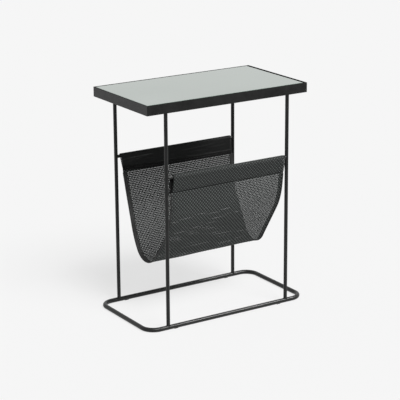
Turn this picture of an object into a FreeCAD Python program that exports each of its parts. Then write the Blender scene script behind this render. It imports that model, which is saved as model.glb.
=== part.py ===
import FreeCAD, Part
import math
import os

import Sketcher

# Side table: a glass pane in a steel rim, rod legs on a bent base loop, and a net sling for magazines.
# The origin lies on the floor under the middle of the table. +X runs along the table, -Y is the front.

doc = FreeCAD.newDocument("magazine_table")
sheet = doc.addObject("Spreadsheet::Sheet", "Sizes")

sizes = {
    # table as a whole
    "top_length": 450,
    "top_depth": 250,
    "table_height": 556,
    # rim and ledge
    "rim_height": 24,
    "rim_thickness": 2.5,
    "rim_edge_radius": 0.4,
    "ledge_width": 14,
    "ledge_thickness": 3,
    # pane and its bumpers
    "pane_thickness": 5,
    "pane_recess": 0.5,
    "pane_edge_gap": 1,
    "pane_end_slack": 4.4,
    "pane_front_slack": 2,
    "pane_bevel": 0.6,
    "bumper_diameter": 8,
    "bumper_thickness": 1.5,
    "bumper_inset": 30,
    # legs and base loop
    "rod_diameter": 9,
    "base_diameter": 11,
    "leg_spacing": 343,
    "leg_rim_gap": 0.3,
    "base_length": 450,
    "base_corner_radius": 32,
    "weld_gap": 0.2,
    # glides under the base loop
    "glide_lift": 0.6,
    "glide_height": 2.5,
    "glide_length": 10,
    "glide_width": 4.5,
    "glide_spacing": 300,
    # rails
    "rail_diameter": 8,
    "rail_height": 376,
    # sling: drops hang from the rails, lean shares are of the slope straight to the belly, bend shares
    # are of the belly drops, and the room share limits a bend to the straight runs beside it
    "cloth_thickness": 1,
    "soft_gap": 0.4,
    "left_leg_gap": 6.5,
    "right_leg_gap": 0.5,
    "hem_drop": 39,
    "bend_room_share": 0.97,
    "left_belly_radius": 48,
    "left_belly_offset": 1.5,
    "left_belly_drop": 241,
    "left_front_lean_share": 0.006,
    "left_front_bend_share": 0.51,
    "left_front_bend_radius": 170,
    "left_back_lean_share": 0.89,
    "left_back_bend_share": 0.825,
    "left_back_bend_radius": 200,
    "right_belly_radius": 45,
    "right_belly_offset": 11,
    "right_belly_drop": 244,
    "right_front_lean_share": 0.293,
    "right_front_bend_share": 0.424,
    "right_front_bend_radius": 150,
    "right_back_lean_share": 0.5,
    "right_back_bend_share": 0.55,
    "right_back_bend_radius": 60,
    # tapes on the sling's open ends
    "tape_width": 10,
    "tape_thickness": 0.6,
    "tape_start": 2,
    # how far cutting shapes reach past what they cut
    "overrun": 2,
}
for row, (alias, value) in enumerate(sizes.items(), start=1):
    sheet.set(f"A{row}", alias)
    sheet.set(f"B{row}", str(value))
    sheet.setAlias(f"B{row}", alias)
doc.recompute()

# places that several pieces share, as formulas on the sheet
ledge_top = "(Sizes.table_height - Sizes.pane_recess - Sizes.pane_thickness - Sizes.bumper_thickness)"
ledge_bottom = f"({ledge_top} - Sizes.ledge_thickness)"
inner_length = "(Sizes.top_length - 2 * Sizes.rim_thickness)"
inner_depth = "(Sizes.top_depth - 2 * Sizes.rim_thickness)"
leg_x = "(Sizes.leg_spacing / 2)"
leg_y = f"({inner_depth} / 2 - Sizes.leg_rim_gap - Sizes.rod_diameter / 2)"
base_axis = "(Sizes.glide_lift + Sizes.base_diameter / 2)"
cope_diameter = "(Sizes.rod_diameter + 2 * Sizes.weld_gap)"
base_cope_diameter = "(Sizes.base_diameter + 2 * Sizes.weld_gap)"

up = FreeCAD.Vector(0, 0, 1)
across = FreeCAD.Vector(0, 1, 0)
ends_x = (("left", "-"), ("right", ""))
sides_y = (("front", "-"), ("back", ""))
parts = []


def value_of(formula):
    return float(sheet.evalExpression(formula))


def size(alias):
    return value_of(f"Sizes.{alias}")


def bind(thing, formulas):
    for path, formula in formulas.items():
        thing.setExpression(path, formula)


def place(thing, x, y, z):
    bind(thing, {".Placement.Base.x": x, ".Placement.Base.y": y, ".Placement.Base.z": z})


def turn(thing, axis, angle):
    thing.Placement = FreeCAD.Placement(FreeCAD.Vector(), FreeCAD.Rotation(axis, angle))


def finish(thing, label):
    thing.Label = label
    parts.append(thing)


def add_cylinder(name, diameter, height):
    cylinder = doc.addObject("Part::Cylinder", name)
    bind(cylinder, {"Radius": f"{diameter} / 2", "Height": height})
    return cylinder


def add_lying_cylinder(name, diameter, length):
    cylinder = add_cylinder(name, diameter, length)
    turn(cylinder, across, 90)
    return cylinder


def add_box(name, length, width, height):
    box = doc.addObject("Part::Box", name)
    bind(box, {"Length": length, "Width": width, "Height": height})
    return box


def add_cut(name, base, tool):
    cut = doc.addObject("Part::Cut", name)
    cut.Base = base
    cut.Tool = tool
    return cut


def add_group(name, members):
    group = doc.addObject("Part::Compound", name)
    group.Links = members
    return group


def add_sketch(body, name, plane):
    sketch = body.newObject("Sketcher::SketchObject", name)
    planes = {feature.Role: feature for feature in body.Origin.OriginFeatures}
    sketch.AttachmentSupport = [(planes[plane], "")]
    sketch.MapMode = "FlatFace"
    return sketch


def add_dimension(sketch, name, formula, kind, *geometry):
    index = sketch.addConstraint(Sketcher.Constraint(kind, *geometry, value_of(formula)))
    sketch.renameConstraint(index, name)
    sketch.setExpression(f"Constraints.{name}", formula)


def add_plate(name, outer, inner, depth, thickness):
    # a four-sided plate, even about the local Y axis, with its outer side on the local X axis
    body = doc.addObject("PartDesign::Body", f"{name}_body")
    sketch = add_sketch(body, f"{name}_outline", "XY_Plane")
    half_outer, half_inner, back = value_of(outer) / 2, value_of(inner) / 2, value_of(depth)
    corners = [
        FreeCAD.Vector(-half_outer, 0, 0),
        FreeCAD.Vector(half_outer, 0, 0),
        FreeCAD.Vector(half_inner, back, 0),
        FreeCAD.Vector(-half_inner, back, 0),
    ]
    count = len(corners)
    for index, corner in enumerate(corners):
        sketch.addGeometry(Part.LineSegment(corner, corners[(index + 1) % count]))
    for index in range(count):
        sketch.addConstraint(Sketcher.Constraint("Coincident", index, 2, (index + 1) % count, 1))
    # lines 0 and 2 are the outer and inner sides; -1 and -2 are the sketch's own axes
    sketch.addConstraint(Sketcher.Constraint("PointOnObject", 0, 1, -1))
    sketch.addConstraint(Sketcher.Constraint("Symmetric", 0, 1, 0, 2, -2))
    sketch.addConstraint(Sketcher.Constraint("Symmetric", 2, 1, 2, 2, -2))
    add_dimension(sketch, "outer", outer, "DistanceX", 0, 1, 0, 2)
    add_dimension(sketch, "inner", inner, "DistanceX", 2, 2, 2, 1)
    add_dimension(sketch, "depth", depth, "DistanceY", 0, 2, 2, 1)
    pad = body.newObject("PartDesign::Pad", f"{name}_pad")
    pad.Profile = sketch
    bind(pad, {"Length": thickness})
    doc.recompute()
    return body, pad


def make_rim():
    # flat bars on edge, mitred at the corners, with their long edges eased
    half_length = "Sizes.top_length / 2"
    half_depth = "Sizes.top_depth / 2"
    bars = (
        ("rim_front", "Sizes.top_length", "0", f"-{half_depth}", 0),
        ("rim_right", "Sizes.top_depth", half_length, "0", 90),
        ("rim_back", "Sizes.top_length", "0", half_depth, 180),
        ("rim_left", "Sizes.top_depth", f"-{half_length}", "0", 270),
    )
    for name, length, x, y, angle in bars:
        inner = f"{length} - 2 * Sizes.rim_thickness"
        body, pad = add_plate(name, length, inner, "Sizes.rim_thickness", "Sizes.rim_height")
        long_edges = []
        for index, edge in enumerate(pad.Shape.Edges, start=1):
            run = edge.lastVertex().Point - edge.firstVertex().Point
            if abs(run.x) > value_of(inner) / 2:
                long_edges.append(f"Edge{index}")
        eased = body.newObject("PartDesign::Fillet", f"{name}_eased")
        eased.Base = (pad, long_edges)
        bind(eased, {"Radius": "Sizes.rim_edge_radius"})
        turn(body, up, angle)
        place(body, x, y, "Sizes.table_height - Sizes.rim_height")
        finish(body, name)


def make_ledges():
    # the long ledges run the whole inner length and the short ones fit between them
    short_depth = f"({inner_depth} - 2 * Sizes.ledge_width)"
    along, beyond = f"-{inner_length} / 2", f"{inner_length} / 2 - Sizes.ledge_width"
    front, back = f"-{inner_depth} / 2", f"{inner_depth} / 2 - Sizes.ledge_width"
    bars = (
        ("ledge_front", inner_length, "Sizes.ledge_width", along, front),
        ("ledge_back", inner_length, "Sizes.ledge_width", along, back),
        ("ledge_left", "Sizes.ledge_width", short_depth, along, f"-{short_depth} / 2"),
        ("ledge_right", "Sizes.ledge_width", short_depth, beyond, f"-{short_depth} / 2"),
    )
    for name, length, width, x, y in bars:
        ledge = add_box(f"{name}_bar", length, width, "Sizes.ledge_thickness")
        place(ledge, x, y, ledge_bottom)
        finish(ledge, name)


def make_pane():
    # a loose pane with ground edges, pushed to the back left, so its front and right joints are wider
    length = f"({inner_length} - 2 * Sizes.pane_edge_gap - Sizes.pane_end_slack)"
    depth = f"({inner_depth} - 2 * Sizes.pane_edge_gap - Sizes.pane_front_slack)"
    front = f"({inner_depth} / 2 - Sizes.pane_edge_gap - {depth})"
    body, pad = add_plate("pane", length, length, depth, "Sizes.pane_thickness")
    ground = body.newObject("PartDesign::Chamfer", "pane_ground")
    ground.Base = (pad, [f"Edge{index}" for index in range(1, len(pad.Shape.Edges) + 1)])
    bind(ground, {"Size": "Sizes.pane_bevel"})
    place(body, "-Sizes.pane_end_slack / 2", front, f"{ledge_top} + Sizes.bumper_thickness")
    finish(body, "glass_pane")


def make_pads():
    # one bumper near each end of both long ledges
    reach = f"({inner_length} / 2 - Sizes.bumper_inset)"
    middle = f"({inner_depth} / 2 - Sizes.ledge_width / 2)"
    bumpers = []
    for x_name, x_sign in ends_x:
        for y_name, y_sign in sides_y:
            name = f"bumper_{y_name}_{x_name}"
            bumper = add_cylinder(name, "Sizes.bumper_diameter", "Sizes.bumper_thickness")
            place(bumper, f"{x_sign}{reach}", f"{y_sign}{middle}", ledge_top)
            bumpers.append(bumper)
    finish(add_group("bumpers", bumpers), "pane_pads")


def make_base_loop():
    # one rod bent round a rectangle with rounded corners; its path starts in the middle of the front bar
    body = doc.addObject("PartDesign::Body", "base_loop_body")
    path = add_sketch(body, "base_loop_path", "XY_Plane")
    reach, side, corner = size("base_length") / 2, value_of(leg_y), size("base_corner_radius")
    straight, flat = reach - corner, side - corner
    lines = (
        ("Horizontal", (0, -side), (straight, -side)),
        ("Vertical", (reach, -flat), (reach, flat)),
        ("Horizontal", (straight, side), (-straight, side)),
        ("Vertical", (-reach, flat), (-reach, -flat)),
        ("Horizontal", (-straight, -side), (0, -side)),
    )
    for direction, start, stop in lines:
        index = path.addGeometry(Part.LineSegment(FreeCAD.Vector(*start, 0), FreeCAD.Vector(*stop, 0)))
        path.addConstraint(Sketcher.Constraint(direction, index))
    bends = ((straight, -flat), (straight, flat), (-straight, flat), (-straight, -flat))
    first_arc = len(lines)
    for index, (x, y) in enumerate(bends):
        circle = Part.Circle(FreeCAD.Vector(x, y, 0), up, corner)
        begin = (index - 1) * math.pi / 2
        arc = path.addGeometry(Part.ArcOfCircle(circle, begin, begin + math.pi / 2))
        path.addConstraint(Sketcher.Constraint("Tangent", index, 2, arc, 1))
        path.addConstraint(Sketcher.Constraint("Tangent", arc, 2, index + 1, 1))
        if arc > first_arc:
            path.addConstraint(Sketcher.Constraint("Equal", first_arc, arc))
    path.addConstraint(Sketcher.Constraint("Coincident", first_arc - 1, 2, 0, 1))
    path.addConstraint(Sketcher.Constraint("PointOnObject", 0, 1, -2))
    add_dimension(path, "corner", "Sizes.base_corner_radius", "Radius", first_arc)
    add_dimension(path, "right", "Sizes.base_length / 2", "DistanceX", -1, 1, 1, 1)
    add_dimension(path, "left", "Sizes.base_length / 2", "DistanceX", 3, 1, -1, 1)
    add_dimension(path, "front", leg_y, "DistanceY", 0, 1, -1, 1)
    add_dimension(path, "back", leg_y, "DistanceY", -1, 1, 2, 1)
    section = add_sketch(body, "base_loop_section", "YZ_Plane")
    section.addGeometry(Part.Circle(FreeCAD.Vector(-side, 0, 0), up, size("base_diameter") / 2))
    section.addConstraint(Sketcher.Constraint("PointOnObject", 0, 3, -1))
    add_dimension(section, "radius", "Sizes.base_diameter / 2", "Radius", 0)
    add_dimension(section, "front", leg_y, "DistanceX", 0, 3, -1, 1)
    doc.recompute()
    rod = body.newObject("PartDesign::AdditivePipe", "base_loop_rod")
    rod.Profile = section
    rod.Spine = (path, [])
    place(body, "0", "0", base_axis)
    finish(body, "base_loop")


def make_legs():
    # round rods from the base loop, coped over its bars, up to the underside of the long ledges
    cutter_length = "(Sizes.rod_diameter + 2 * Sizes.overrun)"
    for y_name, y_sign in sides_y:
        for x_name, x_sign in ends_x:
            name = f"leg_{y_name}_{x_name}"
            rod = add_cylinder(f"{name}_rod", "Sizes.rod_diameter", f"{ledge_bottom} - {base_axis}")
            place(rod, f"{x_sign}{leg_x}", f"{y_sign}{leg_y}", base_axis)
            cutter = add_lying_cylinder(f"{name}_cutter", base_cope_diameter, cutter_length)
            place(cutter, f"{x_sign}{leg_x} - {cutter_length} / 2", f"{y_sign}{leg_y}", base_axis)
            finish(add_cut(f"{name}_coped", rod, cutter), name)


def make_glides():
    # saddles that hug the underside of both long bars of the base loop
    groove_length = "(Sizes.glide_length + 2 * Sizes.overrun)"
    glides = []
    for x_name, x_sign in ends_x:
        for y_name, y_sign in sides_y:
            name = f"glide_{y_name}_{x_name}"
            middle = f"{x_sign}Sizes.glide_spacing / 2"
            block = add_box(f"{name}_block", "Sizes.glide_length", "Sizes.glide_width", "Sizes.glide_height")
            side = f"{y_sign}{leg_y} - Sizes.glide_width / 2"
            place(block, f"{middle} - Sizes.glide_length / 2", side, "0")
            groove = add_lying_cylinder(f"{name}_groove", base_cope_diameter, groove_length)
            place(groove, f"{middle} - {groove_length} / 2", f"{y_sign}{leg_y}", base_axis)
            glides.append(add_cut(name, block, groove))
    finish(add_group("glides", glides), "floor_glides")


def make_rails():
    # thinner rods between the legs, both ends coped to the legs' round
    cutter_height = "(Sizes.rail_diameter + 2 * Sizes.overrun)"
    for y_name, y_sign in sides_y:
        name = f"rail_{y_name}"
        rail = add_lying_cylinder(f"{name}_rod", "Sizes.rail_diameter", "Sizes.leg_spacing")
        place(rail, f"-{leg_x}", f"{y_sign}{leg_y}", "Sizes.rail_height")
        for x_name, x_sign in ends_x:
            cutter = add_cylinder(f"{name}_cutter_{x_name}", cope_diameter, cutter_height)
            place(cutter, f"{x_sign}{leg_x}", f"{y_sign}{leg_y}", f"Sizes.rail_height - {cutter_height} / 2")
            rail = add_cut(f"{name}_coped_{x_name}", rail, cutter)
        finish(rail, name)


def heading(angle):
    return FreeCAD.Vector(0, math.cos(angle), math.sin(angle))


def drape_side(side, belly_radius, belly_offset, belly_drop):
    # The cloth's middle line on the front, from the sewn-down flap over the rail to the lowest point.
    # It is a list of runs of (point, normal) pairs: two pairs make a straight run, three an arc.
    cloth, gap, hem_drop = size("cloth_thickness"), size("soft_gap"), size("hem_drop")
    rail = FreeCAD.Vector(0, -value_of(leg_y), size("rail_height"))
    loop_radius = size("rail_diameter") / 2 + gap + cloth / 2
    layer_shift = (cloth + gap) / 2
    centre = FreeCAD.Vector(0, belly_offset, size("rail_height") - belly_drop + belly_radius)
    fall = rail - centre
    straight = math.atan2(-fall.y, fall.z) - math.asin(belly_radius / fall.Length)
    lean = math.atan(size(f"{side}_lean_share") * math.tan(straight))
    inward = heading(lean)
    downward = heading(lean - math.pi / 2)

    # both layers of the tunnel leave the loop round the rail as tangents and meet at the seam
    sweep = math.atan2(layer_shift, hem_drop) + math.acos(loop_radius / math.hypot(hem_drop, layer_shift))
    loop = []
    for share in (0, 0.25, 0.5, 0.75, 1):
        normal = heading(lean - math.pi / 2 - sweep - 2 * (math.pi - sweep) * share)
        loop.append((rail + normal * loop_radius, normal))
    sewn = rail + downward * hem_drop
    flap = (sewn - inward * layer_shift, loop[0][1])
    mitre = (loop[-1][1] + inward) * (1 / (1 + loop[-1][1].dot(inward)))
    seam = (sewn + inward * layer_shift, mitre)

    # below the seam the cloth hangs to a bend, then slants into the round of the belly
    bend = rail + downward * (belly_drop * size(f"{side}_bend_share")) + inward * layer_shift
    away = bend - centre
    touch_angle = math.pi + math.atan2(-away.z, -away.y) + math.acos(belly_radius / away.Length)
    slant_normal = heading(touch_angle + math.pi)
    touch = (centre + heading(touch_angle) * belly_radius, slant_normal)
    slant = (touch[0] - bend).normalize()
    corner = touch_angle + math.pi - lean - 2 * math.pi
    room = size("bend_room_share") * min((touch[0] - bend).Length, (bend - seam[0]).Length)
    bend_size = min(size(f"{side}_bend_radius"), room / abs(math.tan(corner / 2)))
    bend_radius = math.copysign(bend_size, corner)
    reach = bend_radius * math.tan(corner / 2)
    bend_normal = heading(lean + corner / 2)
    bend_start = (bend - downward * reach, inward)
    bend_centre = bend_start[0] + inward * bend_radius
    bend_middle = (bend_centre - bend_normal * bend_radius, bend_normal)
    bend_stop = (bend + slant * reach, slant_normal)
    belly_angle = (touch_angle + 3 * math.pi / 2) / 2
    belly = (centre + heading(belly_angle) * belly_radius, heading(belly_angle + math.pi))
    lowest = (centre - up * belly_radius, up)

    tunnel = [(flap, loop[0]), tuple(loop[:3]), tuple(loop[2:]), (loop[-1], seam)]
    hanging = [
        (seam, bend_start),
        (bend_start, bend_middle, bend_stop),
        (bend_stop, touch),
        (touch, belly, lowest),
    ]
    return tunnel, hanging


def mirror_runs(runs):
    mirrored = []
    for run in reversed(runs):
        pairs = [(point - across * (2 * point.y), normal - across * (2 * normal.y)) for point, normal in run]
        mirrored.append(tuple(reversed(pairs)))
    return mirrored


def drape_runs(end):
    # the section at one end of the sling: all its runs, flap to flap, and those between the two seams
    radius, offset, drop = (size(f"{end}_belly_{word}") for word in ("radius", "offset", "drop"))
    front = drape_side(f"{end}_front", radius, offset, drop)
    back = drape_side(f"{end}_back", radius, -offset, drop)
    hanging = front[1] + mirror_runs(back[1])
    return front[0] + hanging + mirror_runs(back[0]), hanging


def band_edges(runs, shift, x):
    # the runs moved sideways along their normals, in the plane at x
    edges = []
    for run in runs:
        points = [FreeCAD.Vector(x, 0, 0) + point + normal * shift for point, normal in run]
        if len(points) == 2:
            edges.append(Part.LineSegment(*points).toShape())
        else:
            edges.append(Part.Arc(*points).toShape())
    return edges


def band_wire(runs, thickness, x):
    # the closed outline of a band of even thickness round the runs
    upper = band_edges(runs, thickness / 2, x)
    lower = band_edges([run[::-1] for run in reversed(runs)], -thickness / 2, x)
    outline = []
    for edges, following in ((upper, lower), (lower, upper)):
        corner = edges[-1].lastVertex(True).Point
        outline += edges
        outline.append(Part.LineSegment(corner, following[0].firstVertex(True).Point).toShape())
    return Part.Wire(outline)


def move_ends(runs, distance):
    # the same runs with both free ends drawn in along their straight first and last run
    first, last = runs[0], runs[-1]
    ahead = (first[1][0] - first[0][0]).normalize() * distance
    behind = (last[0][0] - last[1][0]).normalize() * distance
    start = (first[0][0] + ahead, first[1][1])
    stop = (last[1][0] + behind, last[0][1])
    return [(start, first[1])] + runs[1:-1] + [(last[0], stop)]


def sling_ends():
    # where the cloth stops at each end, inside its tape, and which way is inward
    inner_leg = value_of(f"{leg_x} - Sizes.rod_diameter / 2")
    tape = size("tape_thickness") + size("soft_gap")
    left = size("left_leg_gap") + tape - inner_leg
    right = inner_leg - size("right_leg_gap") - tape
    return (("left", left, 1), ("right", right, -1))


def make_sling():
    # the section stays even under each tape and changes steadily from one end to the other between them
    even = size("tape_width") + size("soft_gap")
    sections = []
    for end, x, inward in sling_ends():
        runs = drape_runs(end)[0]
        pair = [band_wire(runs, size("cloth_thickness"), at) for at in (x, x + inward * even)]
        sections += pair[::inward]
    cloth = doc.addObject("Part::Feature", "sling")
    cloth.Shape = Part.makeLoft(sections, True, True)
    finish(cloth, "sling_cloth")


def make_bindings():
    # tapes folded over the raw ends of the sling, from just under one seam to just under the other
    slot_thickness = size("cloth_thickness") + 2 * size("soft_gap")
    tape_thickness = slot_thickness + 2 * size("tape_thickness")
    start, overrun = size("tape_start"), size("overrun")
    for end, x, inward in sling_ends():
        hanging = drape_runs(end)[1]
        slot_x = x - inward * size("soft_gap")
        outer_x = slot_x - inward * size("tape_thickness")
        width = FreeCAD.Vector(x + inward * size("tape_width") - outer_x, 0, 0)
        outline = band_wire(move_ends(hanging, start), tape_thickness, outer_x)
        slot = band_wire(move_ends(hanging, start - overrun), slot_thickness, slot_x)
        tape = doc.addObject("Part::Feature", f"tape_{end}")
        tape.Shape = Part.Face(outline).extrude(width).cut(Part.Face(slot).extrude(width))
        finish(tape, f"binding_{end}")


make_rim()
make_ledges()
make_pane()
make_pads()
make_base_loop()
make_legs()
make_glides()
make_rails()
make_sling()
make_bindings()
doc.recompute()

for thing in doc.Objects:
    if "Invalid" in thing.State or "Error" in thing.State:
        raise RuntimeError(f"{thing.Name} failed: {thing.State}")
for thing in parts:
    if thing.Shape.isNull() or not thing.Shape.isValid():
        raise RuntimeError(f"{thing.Label} has no valid shape")

os.makedirs("parts", exist_ok=True)
for thing in parts:
    thing.Shape.exportStep(f"parts/{thing.Label}.step")
    print(f"{thing.Label}: {len(thing.Shape.Solids)} solid(s), {thing.Shape.Volume:.1f} mm3")
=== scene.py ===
import math

import bpy
import numpy as np
from mathutils import Euler, Matrix, Vector


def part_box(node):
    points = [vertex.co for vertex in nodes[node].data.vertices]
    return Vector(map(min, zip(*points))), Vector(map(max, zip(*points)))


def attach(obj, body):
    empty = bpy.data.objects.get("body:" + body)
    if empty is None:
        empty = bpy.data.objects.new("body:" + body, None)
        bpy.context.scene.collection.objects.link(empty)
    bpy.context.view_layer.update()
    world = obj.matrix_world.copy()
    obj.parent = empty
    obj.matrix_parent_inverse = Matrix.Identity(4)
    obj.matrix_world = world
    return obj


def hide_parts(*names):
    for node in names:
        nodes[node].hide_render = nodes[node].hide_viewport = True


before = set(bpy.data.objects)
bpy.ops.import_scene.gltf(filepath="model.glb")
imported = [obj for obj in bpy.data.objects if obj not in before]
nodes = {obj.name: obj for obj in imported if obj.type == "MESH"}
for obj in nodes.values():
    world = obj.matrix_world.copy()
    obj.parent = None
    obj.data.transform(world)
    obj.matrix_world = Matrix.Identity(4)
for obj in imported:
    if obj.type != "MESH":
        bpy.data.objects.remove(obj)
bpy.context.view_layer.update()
print("frame loaded:", len(nodes), "nodes")


# nodes that several materials use

def startMaterial(name):
    material = bpy.data.materials.new(name)
    material.use_nodes = True
    tree = material.node_tree
    return material, tree, tree.nodes["Principled BSDF"]


def addNode(tree, kind, **values):
    node = tree.nodes.new(kind)
    for name, value in values.items():
        setattr(node, name, value)
    return node


def coordinates(tree, source, scale=(1, 1, 1), turn=0.0):
    spot = addNode(tree, "ShaderNodeTexCoord")
    mapping = addNode(tree, "ShaderNodeMapping")
    mapping.inputs["Scale"].default_value = scale
    mapping.inputs["Rotation"].default_value = (0, 0, turn)
    tree.links.new(spot.outputs[source], mapping.inputs["Vector"])
    return mapping.outputs["Vector"]


def axes(tree, vector):
    split = addNode(tree, "ShaderNodeSeparateXYZ")
    tree.links.new(vector, split.inputs["Vector"])
    return split.outputs["X"], split.outputs["Y"], split.outputs["Z"]


def attribute(tree, name):
    return addNode(tree, "ShaderNodeAttribute", attribute_name=name).outputs["Fac"]


def noise(tree, vector, scale, detail=2.0, roughness=0.5):
    node = addNode(tree, "ShaderNodeTexNoise")
    node.inputs["Scale"].default_value = scale
    node.inputs["Detail"].default_value = detail
    node.inputs["Roughness"].default_value = roughness
    tree.links.new(vector, node.inputs["Vector"])
    return node.outputs["Fac"]


def stripes(tree, vector, scale, distortion=0.0):
    node = addNode(tree, "ShaderNodeTexWave", wave_type="BANDS", bands_direction="X", wave_profile="SIN")
    node.inputs["Scale"].default_value = scale
    node.inputs["Distortion"].default_value = distortion
    node.inputs["Detail Scale"].default_value = 2.0
    tree.links.new(vector, node.inputs["Vector"])
    return node.outputs["Fac"]


def ramp(tree, factor, low, high, start=0.3, stop=0.7):
    node = addNode(tree, "ShaderNodeValToRGB")
    node.color_ramp.elements[0].position = start
    node.color_ramp.elements[0].color = (*low, 1)
    node.color_ramp.elements[1].position = stop
    node.color_ramp.elements[1].color = (*high, 1)
    tree.links.new(factor, node.inputs["Fac"])
    return node.outputs["Color"]


def span(tree, factor, low, high, start=0.3, stop=0.7):
    node = addNode(tree, "ShaderNodeMapRange")
    node.inputs["From Min"].default_value = start
    node.inputs["From Max"].default_value = stop
    node.inputs["To Min"].default_value = low
    node.inputs["To Max"].default_value = high
    tree.links.new(factor, node.inputs["Value"])
    return node.outputs["Result"]


def combine(tree, operation, first, second=0.0):
    node = addNode(tree, "ShaderNodeMath", operation=operation)
    for socket, value in zip(node.inputs, (first, second)):
        if isinstance(value, float):
            socket.default_value = value
        else:
            tree.links.new(value, socket)
    return node.outputs["Value"]


def tint(tree, factor, colour, fixedColour):
    # sockets 6 and 7 of a colour mix are its two colours
    node = addNode(tree, "ShaderNodeMix", data_type="RGBA")
    node.inputs[7].default_value = (*fixedColour, 1)
    tree.links.new(factor, node.inputs["Factor"])
    tree.links.new(colour, node.inputs[6])
    return node.outputs[2]


def paint(tree, shader, colour, roughness):
    tree.links.new(colour, shader.inputs["Base Color"])
    tree.links.new(roughness, shader.inputs["Roughness"])


def addBump(tree, shader, height, strength, distance):
    bump = addNode(tree, "ShaderNodeBump")
    bump.inputs["Strength"].default_value = strength
    bump.inputs["Distance"].default_value = distance
    tree.links.new(height, bump.inputs["Height"])
    tree.links.new(bump.outputs["Normal"], shader.inputs["Normal"])


# finishes: a noise is given as scale, detail and roughness, a bump as strength and distance

coatFinish = {
    "dark": (0.0078, 0.0082, 0.0080),
    "light": (0.0130, 0.0134, 0.0130),
    "roughness": (0.28, 0.40),
    "gloss": 0.26,
    "rubbed": 0.95,              # roughness of the rim's upper edge, dull from wiping
    "rubbedDepth": 0.0005,
    "clouds": (22, 3),
    "patches": (75, 3, 0.6),
    "peel": (1100, 1),
    "bump": (0.10, 0.0002),
}


def makeCoat(name, rubbedAbove=None):
    # satin black powder coat: a fine orange peel, a little unevenness in sheen
    material, tree, shader = startMaterial(name)
    place = coordinates(tree, "Object")
    cloudy = noise(tree, place, *coatFinish["clouds"])
    peel = noise(tree, place, *coatFinish["peel"])
    roughness = span(tree, noise(tree, place, *coatFinish["patches"]), *coatFinish["roughness"])
    if rubbedAbove is not None:
        isTop = combine(tree, "GREATER_THAN", axes(tree, place)[2], rubbedAbove)
        rubbed = combine(tree, "MULTIPLY", isTop, coatFinish["rubbed"])
        roughness = combine(tree, "MAXIMUM", roughness, rubbed)
    paint(tree, shader, ramp(tree, cloudy, coatFinish["dark"], coatFinish["light"]), roughness)
    shader.inputs["Specular IOR Level"].default_value = coatFinish["gloss"]
    addBump(tree, shader, peel, *coatFinish["bump"])
    return material


paneFinish = {
    "face": ((0.314, 0.358, 0.328), (0.342, 0.386, 0.356)),
    "edge": (0.18, 0.26, 0.22),
    "edgeWidth": 0.0007,         # the bevel, seen from above
    "roughness": (0.035, 0.075),
    "ior": 1.52,
    "clouds": (5, 2),
    "smudges": (30, 4, 0.65),
    "bump": (0.02, 0.0005),
}


def makePaneGlass():
    # pale back-painted glass, greener where the bevel shows its thickness
    material, tree, shader = startMaterial("pale_painted_glass")
    place = coordinates(tree, "Object")
    cloudy = noise(tree, place, *paneFinish["clouds"])
    smudges = noise(tree, place, *paneFinish["smudges"])
    sides = []
    for axis, low, high in zip(axes(tree, place)[:2], *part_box("glass_pane")):
        middle, half = float(high + low) / 2, float(high - low) / 2
        aside = combine(tree, "ABSOLUTE", combine(tree, "SUBTRACT", axis, middle))
        sides.append(combine(tree, "GREATER_THAN", aside, half - paneFinish["edgeWidth"]))
    isEdge = combine(tree, "MAXIMUM", *sides)
    colour = tint(tree, isEdge, ramp(tree, cloudy, *paneFinish["face"]), paneFinish["edge"])
    paint(tree, shader, colour, span(tree, smudges, *paneFinish["roughness"]))
    shader.inputs["IOR"].default_value = paneFinish["ior"]
    addBump(tree, shader, cloudy, *paneFinish["bump"])
    return material


netFinish = {
    # painted shade on the crossings that lie under
    "under": (0.0050, 0.0058, 0.0055),
    "over": (0.1360, 0.1505, 0.1447),    # painted highlight on the crossings that lie over, every second one
    "contrast": 2.6,
    "linedShade": 0.74,          # painted shade: the flaps are darker, as the facing behind them lets no light through
    "roughness": (0.55, 0.75),
    "gloss": 0.25,
    "fuzz": (9, 3, 0.6),
    "fuzzShade": 0.12,
    "filaments": (3.2, 0.4),     # stripes on a yarn, and how much they waver
    "bump": (0.5, 0.0003),
}


def makeNetYarn(columns, rows):
    # filaments run down the crossings that lie over and across those that lie under
    material, tree, shader = startMaterial("black_net_yarn")
    fullTurn = 2 * math.pi
    u, v = axes(tree, coordinates(tree, "UV", (fullTurn * columns, fullTurn * rows, 1)))[:2]
    checks = combine(tree, "MULTIPLY", combine(tree, "COSINE", u), combine(tree, "COSINE", v))
    over = span(tree, checks, 0.0, 1.0, -1, 1)
    down = coordinates(tree, "UV", (columns, rows, 1))
    across = coordinates(tree, "UV", (columns, rows, 1), math.radians(90))
    fuzz = noise(tree, down, *netFinish["fuzz"])
    uneven = span(tree, fuzz, -netFinish["fuzzShade"], netFinish["fuzzShade"])
    # painted highlight on the crossings that lie over, painted shade on those that lie under
    shade = combine(tree, "ADD", combine(tree, "POWER", over, netFinish["contrast"]), uneven)
    # painted shade on the flaps
    lining = span(tree, attribute(tree, "lined"), 1.0, netFinish["linedShade"], 0, 1)
    shade = combine(tree, "MULTIPLY", shade, lining)
    colour = ramp(tree, shade, netFinish["under"], netFinish["over"], 0, 1)
    paint(tree, shader, colour, span(tree, fuzz, *netFinish["roughness"]))
    shader.inputs["Specular IOR Level"].default_value = netFinish["gloss"]
    filaments = addNode(tree, "ShaderNodeMix", data_type="FLOAT")
    tree.links.new(combine(tree, "GREATER_THAN", over, 0.5), filaments.inputs["Factor"])
    tree.links.new(stripes(tree, across, *netFinish["filaments"]), filaments.inputs["A"])
    tree.links.new(stripes(tree, down, *netFinish["filaments"]), filaments.inputs["B"])
    addBump(tree, shader, filaments.outputs["Result"], *netFinish["bump"])
    return material


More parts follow.
